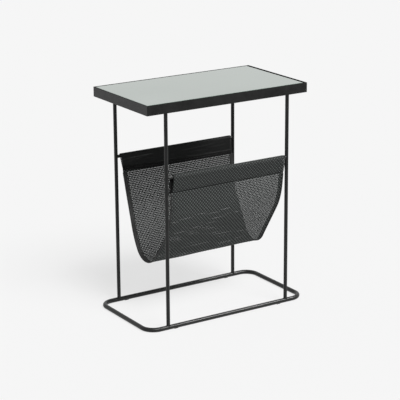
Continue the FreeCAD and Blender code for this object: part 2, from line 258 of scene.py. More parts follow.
tapeFinish = {
    "dark": (0.0085, 0.0088, 0.0086),
    "light": (0.036, 0.037, 0.036),
    "darkAndLightAt": (0.36, 0.66),
    "roughness": (0.55, 0.72),
    "gloss": 0.25,
    "ribs": (330, 0.3),          # to the metre, and how much they waver
    "ribSlant": 38,
    "picks": 528,
    "fuzz": (420, 2),
    "fuzzShare": 0.35,
    "patches": (24, 1),          # rubbed stretches along the tape, a few centimetres each
    "bump": (0.6, 0.00025),
}


def makeTapeWeave():
    # woven twill, ribs at a slant to its length
    material, tree, shader = startMaterial("black_twill_tape")
    slanting = coordinates(tree, "UV", (1, 1, 1), math.radians(tapeFinish["ribSlant"]))
    across = coordinates(tree, "UV", (1, 1, 1), math.radians(90))
    ribs = stripes(tree, slanting, *tapeFinish["ribs"])
    weave = combine(tree, "MULTIPLY", ribs, stripes(tree, across, tapeFinish["picks"]))
    fuzz = noise(tree, slanting, *tapeFinish["fuzz"])
    patches = noise(tree, coordinates(tree, "UV"), *tapeFinish["patches"])
    shade = combine(tree, "ADD", combine(tree, "MULTIPLY", fuzz, tapeFinish["fuzzShare"]),
                    combine(tree, "MULTIPLY", patches, 1 - tapeFinish["fuzzShare"]))
    colour = ramp(tree, shade, tapeFinish["dark"], tapeFinish["light"], *tapeFinish["darkAndLightAt"])
    paint(tree, shader, colour, span(tree, fuzz, *tapeFinish["roughness"]))
    shader.inputs["Specular IOR Level"].default_value = tapeFinish["gloss"]
    addBump(tree, shader, weave, *tapeFinish["bump"])
    return material


facingFinish = {
    # darkest, palest, and the colour of the painted highlights
    # the front copy is darker than the back one, a painted shade for the dark inside of the front tunnel's
    # mouth
    "front": ((0.0035, 0.0037, 0.0036), (0.0070, 0.0073, 0.0072), (0.010, 0.010, 0.010)),
    "back": ((0.010, 0.0106, 0.0104), (0.018, 0.019, 0.0186), (0.060, 0.062, 0.061)),
    "doubled": (0.0046, 0.0049, 0.0048),     # darker in a band along its foot
    "roughness": (0.50, 0.66),
    "gloss": 0.12,
    "threads": 420,
    "fuzz": (380, 2),
    "streakStretch": (9, 190, 1),
    "streaks": (1.0, 2, 0.45),
    "streakShade": (0.0, 0.5, 0.62, 0.76),   # least and most, and the noise that gives them
    "bump": (0.5, 0.0002),
}


def makeFacingCloth(side):
    # close black cloth inside the tunnels, with painted highlights in streaks along the rail and along the
    # higher creases
    material, tree, shader = startMaterial(f"black_facing_cloth_{side}")
    dark, light, rubbed = facingFinish[side]
    along = coordinates(tree, "UV")
    across = coordinates(tree, "UV", (1, 1, 1), math.radians(90))
    weave = combine(tree, "MULTIPLY", stripes(tree, along, facingFinish["threads"]),
                    stripes(tree, across, facingFinish["threads"]))
    fuzz = noise(tree, along, *facingFinish["fuzz"])
    streaks = noise(tree, coordinates(tree, "UV", facingFinish["streakStretch"]), *facingFinish["streaks"])
    streaks = span(tree, streaks, *facingFinish["streakShade"])
    # painted highlights on the streaks and on the crests of the higher creases
    worn = combine(tree, "MAXIMUM", streaks, attribute(tree, "worn"))
    colour = tint(tree, worn, ramp(tree, fuzz, dark, light), rubbed)
    colour = tint(tree, attribute(tree, "doubled"), colour, facingFinish["doubled"])
    paint(tree, shader, colour, span(tree, fuzz, *facingFinish["roughness"]))
    shader.inputs["Specular IOR Level"].default_value = facingFinish["gloss"]
    addBump(tree, shader, weave, *facingFinish["bump"])
    return material


threadFinish = {
    "dark": (0.020, 0.021, 0.021),
    "light": (0.040, 0.042, 0.041),
    "roughness": (0.40, 0.55),
    "uneven": (260, 2),
    "twist": 420,
    "twistSlant": 30,
    "bump": (0.4, 0.0001),
}


def makeThread():
    material, tree, shader = startMaterial("charcoal_sewing_thread")
    slanting = coordinates(tree, "Object", (1, 1, 1), math.radians(threadFinish["twistSlant"]))
    uneven = noise(tree, coordinates(tree, "Object"), *threadFinish["uneven"])
    colour = ramp(tree, uneven, threadFinish["dark"], threadFinish["light"])
    paint(tree, shader, colour, span(tree, uneven, *threadFinish["roughness"]))
    addBump(tree, shader, stripes(tree, slanting, threadFinish["twist"]), *threadFinish["bump"])
    return material


bumperFinish = {
    "dull": (0.58, 0.61, 0.59),
    "clear": (0.70, 0.73, 0.71),
    "roughness": (0.25, 0.40),
    "transmission": 0.6,
    "ior": 1.42,
    "clouds": (240, 2),
    "bump": (0.1, 0.0002),
}


def makeBumperRubber():
    material, tree, shader = startMaterial("clear_silicone_bumper")
    cloudy = noise(tree, coordinates(tree, "Object"), *bumperFinish["clouds"])
    colour = ramp(tree, cloudy, bumperFinish["dull"], bumperFinish["clear"])
    paint(tree, shader, colour, span(tree, cloudy, *bumperFinish["roughness"]))
    shader.inputs["Transmission Weight"].default_value = bumperFinish["transmission"]
    shader.inputs["IOR"].default_value = bumperFinish["ior"]
    addBump(tree, shader, cloudy, *bumperFinish["bump"])
    return material


glideFinish = {
    "dark": (0.010, 0.010, 0.010),
    "light": (0.022, 0.022, 0.022),
    "roughness": (0.55, 0.75),
    "scuffs": (120, 4, 0.7),
    "grain": (1500, 2),
    "bump": (0.25, 0.0002),
}


def makeGlidePlastic():
    material, tree, shader = startMaterial("black_glide_plastic")
    place = coordinates(tree, "Object")
    scuffs = noise(tree, place, *glideFinish["scuffs"])
    colour = ramp(tree, scuffs, glideFinish["dark"], glideFinish["light"])
    paint(tree, shader, colour, span(tree, scuffs, *glideFinish["roughness"]))
    addBump(tree, shader, noise(tree, place, *glideFinish["grain"]), *glideFinish["bump"])
    return material


coat = makeCoat("black_powder_coat")
rimTop = float(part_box("rim_front")[1][2])
rimCoat = makeCoat("black_powder_coat_rim", rimTop - coatFinish["rubbedDepth"])
tapeWeave = makeTapeWeave()
thread = makeThread()
finishOf = {
    "glass_pane": makePaneGlass(),
    "pane_pads": makeBumperRubber(),
    "floor_glides": makeGlidePlastic(),
}
for side in ("front", "back", "left", "right"):
    finishOf[f"rim_{side}"] = rimCoat

for name, node in nodes.items():
    node.data.materials.clear()
    node.data.materials.append(finishOf.get(name, coat))
print("finishes on", len(nodes), "nodes")


# the sling's section, repeated from the solids in metres

railLow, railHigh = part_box("rail_front")
clothLow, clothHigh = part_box("sling_cloth")

slingPlan = {
    "railY": -(railLow[1] + railHigh[1]) / 2,
    "railZ": (railLow[2] + railHigh[2]) / 2,
    "leftEnd": clothLow[0],
    "rightEnd": clothHigh[0],
    "even": 0.0104,              # the section doesn't change under the tapes
    "loopRadius": 0.0049,
    "layerShift": 0.0007,
    "hemDrop": 0.039,
    # belly radius, offset and drop; then lean share, bend share and bend radius
    "left": {
        "belly": (0.048, 0.0015, 0.241),
        "front": (0.006, 0.51, 0.170),
        "back": (0.89, 0.825, 0.200),
    },
    "right": {
        "belly": (0.045, 0.011, 0.244),
        "front": (0.293, 0.424, 0.150),
        "back": (0.5, 0.55, 0.060),
    },
    # how many points each part of half a section has
    "points": {"flap": 12, "loop": 40, "inner": 12, "upper": 12, "bend": 16, "lower": 16, "belly": 24},
    "slopeReach": 0.0006,        # the cloth's slope is taken over this far to both sides
    "ripple": 0.0007,
    "calmReach": 0.05,           # the ripples have their full height this far below the seams
    # each ripple's share, its waves along X and along the cloth, and its shift
    "waves": ((0.6, 21, 38, 0.0), (0.4, 47, -17, 1.3)),
}


def clamp(share):
    return min(max(share, 0.0), 1.0)


def ease(value, start, stop):
    # from 0 at start to 1 at stop, smooth at both
    share = clamp((value - start) / (stop - start))
    return share * share * (3 - 2 * share)


def heading(angle):
    return np.array([math.cos(angle), math.sin(angle)])


def straight(start, stop, count):
    return [start + (stop - start) * k / count for k in range(count)]


def arc(centre, radius, start, stop, count):
    return [centre + heading(start + (stop - start) * k / count) * radius for k in range(count)]


def halfSection(side, bellyRadius, bellyOffset, bellyDrop):
    # flap, over the rail, down to the lowest point; every side has the same number of points
    leanShare, bendShare, bendSize = side
    count = slingPlan["points"]
    rail = np.array([-slingPlan["railY"], slingPlan["railZ"]])
    loopRadius, shift, drop = (slingPlan[word] for word in ("loopRadius", "layerShift", "hemDrop"))
    centre = np.array([bellyOffset, slingPlan["railZ"] - bellyDrop + bellyRadius])
    across, fall = rail - centre
    taut = math.atan2(-across, fall) - math.asin(bellyRadius / math.hypot(across, fall))
    lean = math.atan(leanShare * math.tan(taut))
    inward, downward = heading(lean), heading(lean - math.pi / 2)
    sweep = math.atan2(shift, drop) + math.acos(loopRadius / math.hypot(drop, shift))
    loopStart = lean - math.pi / 2 - sweep
    loopStop = loopStart - 2 * (math.pi - sweep)
    sewn = rail + downward * drop
    flapFoot, seamSpot = sewn - inward * shift, sewn + inward * shift

    bend = rail + downward * (bellyDrop * bendShare) + inward * shift
    away = bend - centre
    touchAngle = math.atan2(away[1], away[0]) + math.acos(bellyRadius / np.linalg.norm(away))
    touch = centre + heading(touchAngle) * bellyRadius
    slant = (touch - bend) / np.linalg.norm(touch - bend)
    corner = touchAngle - math.pi - lean
    bendRadius = math.copysign(bendSize, corner)
    reach = bendRadius * math.tan(corner / 2)
    bendStart, bendStop = bend - downward * reach, bend + slant * reach
    bendCentre = bendStart + inward * bendRadius

    tunnel = straight(flapFoot, rail + heading(loopStart) * loopRadius, count["flap"])
    tunnel += arc(rail, loopRadius, loopStart, loopStop, count["loop"])
    tunnel += straight(rail + heading(loopStop) * loopRadius, seamSpot, count["inner"])
    hanging = straight(seamSpot, bendStart, count["upper"])
    hanging += arc(bendCentre, -bendRadius, lean, lean + corner, count["bend"])
    hanging += straight(bendStop, touch, count["lower"])
    hanging += arc(centre, bellyRadius, touchAngle, 3 * math.pi / 2, count["belly"])
    lowest = centre - np.array([0, bellyRadius])
    return tunnel + hanging + [lowest]


def fullSection(end):
    radius, offset, drop = slingPlan[end]["belly"]
    front = halfSection(slingPlan[end]["front"], radius, offset, drop)
    back = halfSection(slingPlan[end]["back"], radius, -offset, drop)
    mirrored = [point * np.array([-1, 1]) for point in reversed(back[:-1])]
    return np.array(front + mirrored)


sections = {end: fullSection(end) for end in ("left", "right")}
knownSections = {}

# places in the list of section points, from either flap
railTop = slingPlan["points"]["flap"] + slingPlan["points"]["loop"] // 2
seam = sum(slingPlan["points"][part] for part in ("flap", "loop", "inner"))


def sectionAt(x):
    # the section's points, and how far along the cloth each one is
    tag = round(x * 1e7)
    if tag not in knownSections:
        first = slingPlan["leftEnd"] + slingPlan["even"]
        last = slingPlan["rightEnd"] - slingPlan["even"]
        share = clamp((x - first) / (last - first))
        section = sections["left"] * (1 - share) + sections["right"] * share
        steps = np.linalg.norm(np.diff(section, axis=0), axis=1)
        knownSections[tag] = (section, np.concatenate([[0.0], np.cumsum(steps)]))
    return knownSections[tag]


def clothSpot(x, at):
    # a place on the cloth's middle, with the directions along the cloth and out of it
    section, lengths = sectionAt(x)
    spots = np.array([at - slingPlan["slopeReach"], at, at + slingPlan["slopeReach"]])
    across, height = (np.interp(spots, lengths, section[:, axis]) for axis in (0, 1))
    course = Vector((0, across[2] - across[0], height[2] - height[0])).normalized()
    outward = Vector((0, -course.z, course.y))
    belowSeam = min(at, lengths[-1] - at) - lengths[seam]
    wave = sum(share * math.sin(byX * x + byLength * at + shift)
               for share, byX, byLength, shift in slingPlan["waves"])
    ripple = slingPlan["ripple"] * clamp(belowSeam / slingPlan["calmReach"]) * wave
    return Vector((x, across[1], height[1])) + outward * ripple, course, outward


def alongCloth(x, index, further, fromBack=False):
    # how far along the cloth a section point lies, counted from the front flap
    lengths = sectionAt(x)[1]
    reach = lengths[index] + further
    return lengths[-1] - reach if fromBack else reach


def makeMesh(name, points, faces, uvs, material, **values):
    # values are attributes of the points, which the material reads
    mesh = bpy.data.meshes.new(name)
    mesh.from_pydata(points, [], faces)
    if uvs is not None:
        layer = mesh.uv_layers.new(name="UVMap")
        corners = np.array([uvs[v] for face in faces for v in face], dtype=np.float32)
        layer.data.foreach_set("uv", corners.ravel())
    mesh.materials.append(material)
    mesh.polygons.foreach_set("use_smooth", [True] * len(mesh.polygons))
    mesh.update()
    for word, numbers in values.items():
        mesh.attributes.new(word, "FLOAT", "POINT").data.foreach_set("value", numbers)
    thing = bpy.data.objects.new(name, mesh)
    bpy.context.scene.collection.objects.link(thing)
    return thing


def dress(piece, slot, *replaced):
    if replaced:
        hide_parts(*replaced)
    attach(piece, "frame")
    return piece


# net

netPlan = {
    "columns": 39,               # repeats of the weave across the sling, two yarns each
    "repeatHeight": 0.00897,
    "hole": (0.275, 0.230),      # share of the space between two yarns, across and down
    "thickness": 0.0010,         # where two yarns cross
    "wave": 0.0002,              # over and under at the crossings
    "lap": 0.0010,               # how far the front flap stands off where it lies on the facing
    "lapRise": (0.001, 0.003),   # where that starts past the rail's top, and over what length
    "press": 0.0008,             # how far a flap's foot is drawn in by its seam
    "pressReach": 0.010,
    "selvedge": 0.0045,          # the painted flap shade fades out this far from each flap's foot, a painted lightening against the shade along its thin edge
    # the flaps stop short of the left end, at the start and the stop of each
    "frontSetBack": (0.0020, 0.0054),
    "backSetBack": (0.0015, 0.0015),
    "pastRail": (0.0120, 0.0030),        # how far the front and back flaps reach over the rail
    "underFacing": {"front": 0.0025, "back": 0.0075},    # how far the hanging net reaches up
}


def netStretches():
    # start and stop of each length of net as (section point, further, from the back), and its set-back
    past, under = netPlan["pastRail"], netPlan["underFacing"]
    return [
        (((0, 0, False), (railTop, past[0], False)), netPlan["frontSetBack"]),
        (((seam, -under["front"], False), (seam, -under["back"], True)), (0, 0)),
        (((railTop, past[1], True), (0, 0, True)), netPlan["backSetBack"]),
    ]


def stretchLength(ends):
    return alongCloth(0, *ends[1]) - alongCloth(0, *ends[0])


def stretchRows(ends):
    return round(stretchLength(ends) / netPlan["repeatHeight"])


def drawnIn(fromFoot):
    return netPlan["press"] * max(1 - fromFoot / netPlan["pressReach"], 0.0)


netRows = sum(stretchRows(ends) for ends, setBack in netStretches())
netYarn = makeNetYarn(netPlan["columns"], netRows)


def makeNet():
    # a plain weave: yarns thick where they cross, going over and under, thin round the holes
    wide = netPlan["columns"] * 2
    holeWidth, holeHeight = netPlan["hole"]
    lapStart, lapLength = netPlan["lapRise"]
    points, uvs, faces, lined = [], [], [], []
    around = ((-0.5, -0.5), (0.5, -0.5), (0.5, 0.5), (-0.5, 0.5))
    rowsBefore = 0
    for ends, setBack in netStretches():
        tall = stretchRows(ends) * 2
        known = {}

        def spot(i, j, side):
            key = (round(i * 1000), round(j * 1000), side)
            if key not in known:
                share = j / tall
                start = slingPlan["leftEnd"] + setBack[0] + (setBack[1] - setBack[0]) * share
                x = start + (slingPlan["rightEnd"] - start) * i / wide
                first, last = (alongCloth(x, *end) for end in ends)
                at = first + (last - first) * share
                middle, _, outward = clothSpot(x, at)
                lift = side * netPlan["thickness"] / 2
                if side:
                    lift += netPlan["wave"] * (1 if (i + j) % 2 == 0 else -1)
                lengths = sectionAt(x)[1]
                if rowsBefore == 0:
                    lift += netPlan["lap"] * clamp((at - lengths[railTop] - lapStart) / lapLength)
                fromFoot = min(at, lengths[-1] - at)
                isFlap = fromFoot < lengths[seam] / 2
                # painted shade on the flaps, faded out towards their feet
                lined.append(clamp(fromFoot / netPlan["selvedge"]) if isFlap else 0.0)
                known[key] = len(points)
                points.append(middle + outward * (lift - drawnIn(fromFoot)))
                uvs.append((i / wide, (rowsBefore + j / 2) / netRows))
            return known[key]

        for i in range(wide):
            for j in range(tall):
                corners = [(round(i + 0.5 + a), round(j + 0.5 + b)) for a, b in around]
                ring = [spot(i + 0.5 + a * holeWidth, j + 0.5 + b * holeHeight, 0) for a, b in around]
                for side in (1, -1):
                    outer = [spot(p, q, 0 if p in (0, wide) or q in (0, tall) else side)
                             for p, q in corners]
                    made = [(outer[k], outer[k - 3], ring[k - 3], ring[k]) for k in range(4)]
                    faces.extend(made if side == 1 else [quad[::-1] for quad in made])
        rowsBefore += tall // 2
    print("net:", len(faces), "faces")
    return makeMesh("sling_net", points, faces, uvs, netYarn, lined=lined)


net = dress(makeNet(), "black_net", "sling_cloth")


# facings inside the tunnels

facingPlan = {
    "thickness": 0.0008,
    "edgeShare": 0.6,            # of the thickness, along its edges
    "inset": 0.0004,             # from the ends of the net
    "reach": 0.0050,             # how far the front one's foot stands out past the left end, where its near-black colour is the painted shade in the tunnel's mouth
    "short": 0.0025,             # the back one stops short of the right end
    "belowRail": {"front": 0.0060, "back": -0.0040},     # its upper edge, from the rail's top
    # its foot, from the flap's foot: at the left end, and on past the place where it is even
    "underSeam": {"front": (0.0002, 0.0002), "back": (-0.0035, 0.0015)},
    "evenFrom": -0.06,
    "lap": 0.0010,               # how far it stands off where it lies on the net
    "lapRise": (0.0025, 0.0005),         # where it starts and stops rising, above the net's upper edge
    # the back one's top lies on the flap: it is clear of it this far down, and comes off over this length
    "topLap": (0.0085, 0.002),
    # the back one's doubled edge starts and is whole here, from its foot
    "turnedUnder": (0.0112, 0.0098),
    "turnedStep": 0.0003,
    "across": 90,
    "down": 64,
    # crease: middle x, half length, distance under the rail's top, half width, height
    "creases": [
        (-0.105, 0.045, 0.0150, 0.0022, 0.0011),
        (-0.118, 0.030, 0.0205, 0.0020, 0.0008),
        (0.060, 0.070, 0.0170, 0.0026, 0.0008),
        (0.120, 0.030, 0.0230, 0.0022, 0.0007),
    ],
    "creaseSlant": 0.03,
    "deepest": 0.0011,           # a crease this high gets the painted highlight all over, one half as high gets none
}


def closedGrid(columns, rows, upper, lower):
    # faces of a closed sheet whose two sides are columns by rows of points
    faces = []
    for i in range(columns - 1):
        for j in range(rows - 1):
            quad = [i * rows + j, (i + 1) * rows + j, (i + 1) * rows + j + 1, i * rows + j + 1]
            faces.append([upper + k for k in quad])
            faces.append([lower + k for k in reversed(quad)])
    border = [i * rows for i in range(columns)] + [(columns - 1) * rows + j for j in range(1, rows)]
    border += [i * rows + rows - 1 for i in range(columns - 2, -1, -1)] + list(range(rows - 2, 0, -1))
    for k, spot in enumerate(border):
        last = border[k - 1]
        faces.append([upper + last, lower + last, lower + spot, upper + spot])
    return faces


def topAt(side, x):
    return alongCloth(x, railTop, facingPlan["belowRail"][side])


def footAt(side, x):
    atLeft, elsewhere = facingPlan["underSeam"][side]
    even = ease(x, slingPlan["leftEnd"], facingPlan["evenFrom"])
    return alongCloth(x, seam, atLeft + (elsewhere - atLeft) * even)


def standOff(side, x, reach):
    # from the cloth's middle to a facing's, which lies on the net at its foot, the back one at its top too
    overNet = alongCloth(x, seam, -netPlan["underFacing"][side]) - reach
    fold = facingPlan["lap"] * ease(overNet, *facingPlan["lapRise"])
    if side == "back":
        lapReach, lapLength = facingPlan["topLap"]
        overFlap = clamp((topAt(side, x) + lapReach - reach) / lapLength)
        fold = max(fold, facingPlan["lap"] * overFlap)
        fold += facingPlan["turnedStep"] * ease(footAt(side, x) - reach, *facingPlan["turnedUnder"])
    return fold


def creaseHeights(x, reach):
    heights = []
    for middle, halfLength, below, halfWidth, height in facingPlan["creases"]:
        offset = reach - alongCloth(x, railTop, below) + facingPlan["creaseSlant"] * (x - middle)
        ends = math.exp(-((x - middle) / halfLength) ** 4)
        heights.append(height * math.exp(-(offset / halfWidth) ** 2) * ends)
    return heights


def makeFacing(side, fromBack):
    plan = facingPlan
    columns, rows = plan["across"], plan["down"]
    left, right = slingPlan["leftEnd"] + plan["inset"], slingPlan["rightEnd"] - plan["inset"]
    if fromBack:
        right -= plan["short"]
    upper, lower, uvs, worn, doubled = [], [], [], [], []
    for i in range(columns):
        for j in range(rows):
            share = j / (rows - 1)
            start = left if fromBack else left - plan["reach"] * share
            x = start + (right - start) * i / (columns - 1)
            top, foot = topAt(side, x), footAt(side, x)
            reach = top + (foot - top) * share
            creases = creaseHeights(x, reach) if fromBack else [0.0]
            fold = standOff(side, x, reach) + sum(creases)
            at = sectionAt(x)[1][-1] - reach if fromBack else reach
            middle, _, outward = clothSpot(x, at)
            isEdge = i in (0, columns - 1) or j in (0, rows - 1)
            half = plan["thickness"] / 2 * (plan["edgeShare"] if isEdge else 1)
            upper.append(middle + outward * (fold + half))
            lower.append(middle + outward * (fold - half))
            uvs.append((x, reach))
            # painted highlight along the crests of the higher creases
            worn.append(max(2 * max(creases) / plan["deepest"] - 1, 0.0))
            doubled.append(ease(foot - reach, *plan["turnedUnder"]) if fromBack else 0.0)
    faces = closedGrid(columns, rows, 0, columns * rows)
    if fromBack:
        faces = [face[::-1] for face in faces]
    return makeMesh(f"hem_facing_{side}", upper + lower, faces, uvs + uvs, makeFacingCloth(side),
                    worn=worn + worn, doubled=doubled + doubled)


facings = [dress(makeFacing(side, side == "back"), "black_tape") for side in ("front", "back")]
print("facings:", len(facings))


# binding tapes on the open ends

tapePlan = {
    "inside": 0.0100,            # width on the side towards the magazines
    "outside": 0.0030,
    "thickness": 0.0006,
    "standOff": 0.0010,          # from the net's middle to the tape's middle
    "round": 0.0007,             # how far the fold stands out past the net
    "foldStart": 0.0002,         # from the end of the net
    "diagonal": 0.7,             # share of both on the way round the fold
    "belowSeam": 0.0022,
    "stations": 190,
    "weaveStep": 0.0012,         # how far the weave's map goes on from point to point
}


def tapeSection():
    # the outline of the folded strip, as distance in from the net's end and lift off its middle
    outside, inside, bulge = tapePlan["outside"], tapePlan["inside"], tapePlan["round"]
    off, foldStart, diagonal = tapePlan["standOff"], tapePlan["foldStart"], tapePlan["diagonal"]
    line = [(outside, -off), (outside / 2, -off), (foldStart, -off), (-bulge * diagonal, -off * diagonal)]
    line += [(-bulge, 0.0), (-bulge * diagonal, off * diagonal), (foldStart, off)]
    line += [(inside * k / 4, off) for k in (1, 2, 3, 4)]
    line = np.array(line)
    slope = np.gradient(line, axis=0)
    normal = np.stack([slope[:, 1], -slope[:, 0]], 1) / np.linalg.norm(slope, axis=1)[:, None]
    half = tapePlan["thickness"] / 2
    return np.vstack([line + normal * half, (line - normal * half)[::-1]])


def makeTape(end):
    # a strip folded round the end of the net, swept from seam to seam
    clothEnd = slingPlan[f"{end}End"]
    inward = 1 if end == "left" else -1
    outline = tapeSection()
    points, uvs, faces = [], [], []
    count, stations = len(outline), tapePlan["stations"]
    start, stop = (alongCloth(clothEnd, seam, tapePlan["belowSeam"], side) for side in (False, True))
    for k in range(stations):
        at = start + (stop - start) * k / (stations - 1)
        middle, _, outward = clothSpot(clothEnd, at)
        for n, (width, lift) in enumerate(outline):
            points.append(middle + Vector((inward * width, 0, 0)) + outward * lift)
            uvs.append((at, min(n, count - 1 - n) * tapePlan["weaveStep"]))
    for k in range(stations - 1):
        for n in range(count):
            m = (n + 1) % count
            faces.append([k * count + n, k * count + m, (k + 1) * count + m, (k + 1) * count + n])
    last = (stations - 1) * count
    for n in range(count // 2 - 1):
        far = count - 1 - n
        faces.append([n, far, far - 1, n + 1])
        faces.append([last + n, last + n + 1, last + far - 1, last + far])
    tape = makeMesh(f"edge_tape_{end}", points, faces, uvs, tapeWeave)
    outwardFaces(tape)
    return tape


def outwardFaces(thing):
    bpy.ops.object.select_all(action="DESELECT")
    bpy.context.view_layer.objects.active = thing
    thing.select_set(True)
    bpy.ops.object.mode_set(mode="EDIT")
    bpy.ops.mesh.select_all(action="SELECT")
    bpy.ops.mesh.normals_make_consistent(inside=False)
    bpy.ops.object.mode_set(mode="OBJECT")
    thing.select_set(False)


tapes = [dress(makeTape(end), "black_tape", f"binding_{end}") for end in ("left", "right")]
print("tapes:", len(tapes))


# stitches

stitchPlan = {
    "length": 0.0027,
    "pitch": 0.0036,
    "thickness": 0.00050,
    "sides": 6,
    "endRound": 0.3,             # share of the thickness
    "raise": 0.0001,             # thread's middle from the cloth's surface
    "hemRow": 0.0035,            # from the flap's foot
    "facingRow": 0.0050,         # from the facing's foot
    "tapeRow": 0.0078,           # from the end of the net
    "hemEnds": 0.0125,           # the hem rows stop short of the tapes
    "tapeEnds": 0.004,           # the tape rows stop short of the ends of the tapes
}


def modelStitch():
    # one short length of thread with drawn-in ends, lying along X
    bpy.ops.object.select_all(action="DESELECT")
    thickness = stitchPlan["thickness"]
    bpy.ops.mesh.primitive_cylinder_add(vertices=stitchPlan["sides"], radius=thickness / 2,
                                        depth=stitchPlan["length"])
    stitch = bpy.context.object
    bpy.ops.object.mode_set(mode="EDIT")
    bpy.ops.mesh.select_all(action="SELECT")
    bpy.ops.mesh.bevel(offset=thickness * stitchPlan["endRound"], segments=1, affect="EDGES")
    bpy.ops.mesh.remove_doubles(threshold=1e-5)
    bpy.ops.object.mode_set(mode="OBJECT")
    stitch.data.transform(Matrix.Rotation(math.pi / 2, 4, "Y"))
    points = [vertex.co.copy() for vertex in stitch.data.vertices]
    faces = [list(polygon.vertices) for polygon in stitch.data.polygons]
    bpy.data.objects.remove(stitch)
    return points, faces


stitchShape = modelStitch()


def copyStitches(name, places):
    # one copy of the stitch at each (middle, direction, outward)
    shape, corners = stitchShape
    points, faces = [], []
    for middle, direction, outward in places:
        across = outward.cross(direction)
        turn = Matrix((direction, across, outward)).transposed()
        first = len(points)
        points.extend(middle + turn @ point for point in shape)
        faces.extend([first + v for v in face] for face in corners)
    return dress(makeMesh(name, points, faces, None, thread), "black_tape")


def hemPlaces(side, fromBack, onFacing):
    places = []
    first = slingPlan["leftEnd"] + stitchPlan["hemEnds"]
    last = slingPlan["rightEnd"] - stitchPlan["hemEnds"]
    count = round((last - first) / stitchPlan["pitch"])
    for k in range(count + 1):
        x = first + (last - first) * k / count
        if onFacing:
            reach = footAt(side, x) - stitchPlan["facingRow"]
            lift = standOff(side, x, reach) + facingPlan["thickness"] / 2
        else:
            reach = stitchPlan["hemRow"]
            lift = netPlan["thickness"] / 2 - drawnIn(reach)
        at = sectionAt(x)[1][-1] - reach if fromBack else reach
        middle, _, outward = clothSpot(x, at)
        places.append((middle + outward * (lift + stitchPlan["raise"]), Vector((1, 0, 0)), outward))
    return places


def tapePlaces(end, isInside):
    places = []
    x = slingPlan[f"{end}End"] + stitchPlan["tapeRow"] * (1 if end == "left" else -1)
    below = tapePlan["belowSeam"] + stitchPlan["tapeEnds"]
    start, stop = (alongCloth(x, seam, below, side) for side in (False, True))
    count = round((stop - start) / stitchPlan["pitch"])
    lift = tapePlan["standOff"] + tapePlan["thickness"] / 2 if isInside else netPlan["thickness"] / 2
    for k in range(count + 1):
        middle, course, outward = clothSpot(x, start + (stop - start) * k / count)
        if not isInside:
            outward = -outward
        places.append((middle + outward * (lift + stitchPlan["raise"]), course, outward))
    return places


for side, fromBack in (("front", False), ("back", True)):
    for face, onFacing in (("outer", False), ("inner", True)):
        places = hemPlaces(side, fromBack, onFacing)
        copyStitches(f"hem_stitches_{side}_{face}", places)
for end in ("left", "right"):
    for face, isInside in (("outer", False), ("inner", True)):
        copyStitches(f"tape_stitches_{end}_{face}", tapePlaces(end, isInside))

netLength = sum(stretchLength(ends) for ends, setBack in netStretches())
rails = ["rail_front", "rail_back"]
for facing, rail, side in zip(facings, rails, ("front", "back")):
    facingLength = footAt(side, 0) - topAt(side, 0)


# weld beads

beadPlan = {
    "size": 0.00070,             # radius of the bead
    "ripple": 0.00010,
    "ripples": 17,
    "clearance": 0.0001,         # bead's middle from the rod it goes round
    "segments": (68, 8),         # round the rod and round the bead
}


def modelBead(radius, saddle):
    # a ring round an upright rod, following the round of a rod that lies along X under it
    bpy.ops.object.select_all(action="DESELECT")
    ring, size = radius + beadPlan["clearance"], beadPlan["size"]
    roundRod, roundBead = beadPlan["segments"]
    bpy.ops.mesh.primitive_torus_add(major_segments=roundRod, minor_segments=roundBead,
                                     major_radius=ring, minor_radius=size)
    bead = bpy.context.object
    for vertex in bead.data.vertices:
        turn = math.atan2(vertex.co.y, vertex.co.x)
        swell = 1 + beadPlan["ripple"] / size * math.cos(beadPlan["ripples"] * turn)
        middle = Vector((ring * math.cos(turn), ring * math.sin(turn), 0))
        vertex.co = middle + (vertex.co - middle) * swell
        if saddle:
            vertex.co.z += math.sqrt(max(saddle ** 2 - (radius * math.sin(turn)) ** 2, 0.0))
    bpy.ops.object.shade_smooth()
    bead.data.materials.append(coat)
    return bead


def placeBead(model, name, place):
    bead = model.copy()
    bead.data = model.data.copy()
    bead.name = name
    bpy.context.scene.collection.objects.link(bead)
    bead.data.transform(place)
    return dress(bead, "black_steel")


def makeBeads():
    legLow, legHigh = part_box("leg_front_right")
    baseLow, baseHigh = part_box("base_loop")
    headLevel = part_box("ledge_front")[0][2]
    legRadius = (legHigh[0] - legLow[0]) / 2
    railRadius = (railHigh[2] - railLow[2]) / 2
    baseRadius = (baseHigh[2] - baseLow[2]) / 2
    legX, legY = (legLow[0] + legHigh[0]) / 2, slingPlan["railY"]
    baseLevel = (baseLow[2] + baseHigh[2]) / 2
    foot, head = modelBead(legRadius, baseRadius), modelBead(legRadius, 0)
    railEnd = modelBead(railRadius, legRadius)
    count = 0
    for side, y in (("front", -legY), ("back", legY)):
        for end, sign in (("left", -1), ("right", 1)):
            x = sign * legX
            aside = Matrix.Rotation(-sign * math.pi / 2, 4, "Y") @ Matrix.Rotation(math.pi / 2, 4, "Z")
            railPlace = Matrix.Translation((x, y, slingPlan["railZ"])) @ aside
            placeBead(foot, f"weld_foot_{side}_{end}", Matrix.Translation((x, y, baseLevel)))
            placeBead(head, f"weld_head_{side}_{end}", Matrix.Translation((x, y, headLevel)))
            placeBead(railEnd, f"weld_rail_{side}_{end}", railPlace)
            count += 3
    for model in (foot, head, railEnd):
        bpy.data.objects.remove(model)
    print("weld beads:", count)


makeBeads()


# camera, light and floor

cameraPlan = {
    "target": (-0.00397, 0.0, 0.26673),
    "turn": -32.617,
    "rise": 16.586,
    "roll": -0.3775,
    "distance": 3.84008,
    "lens": 140.694,
    "sensor": 36,
}


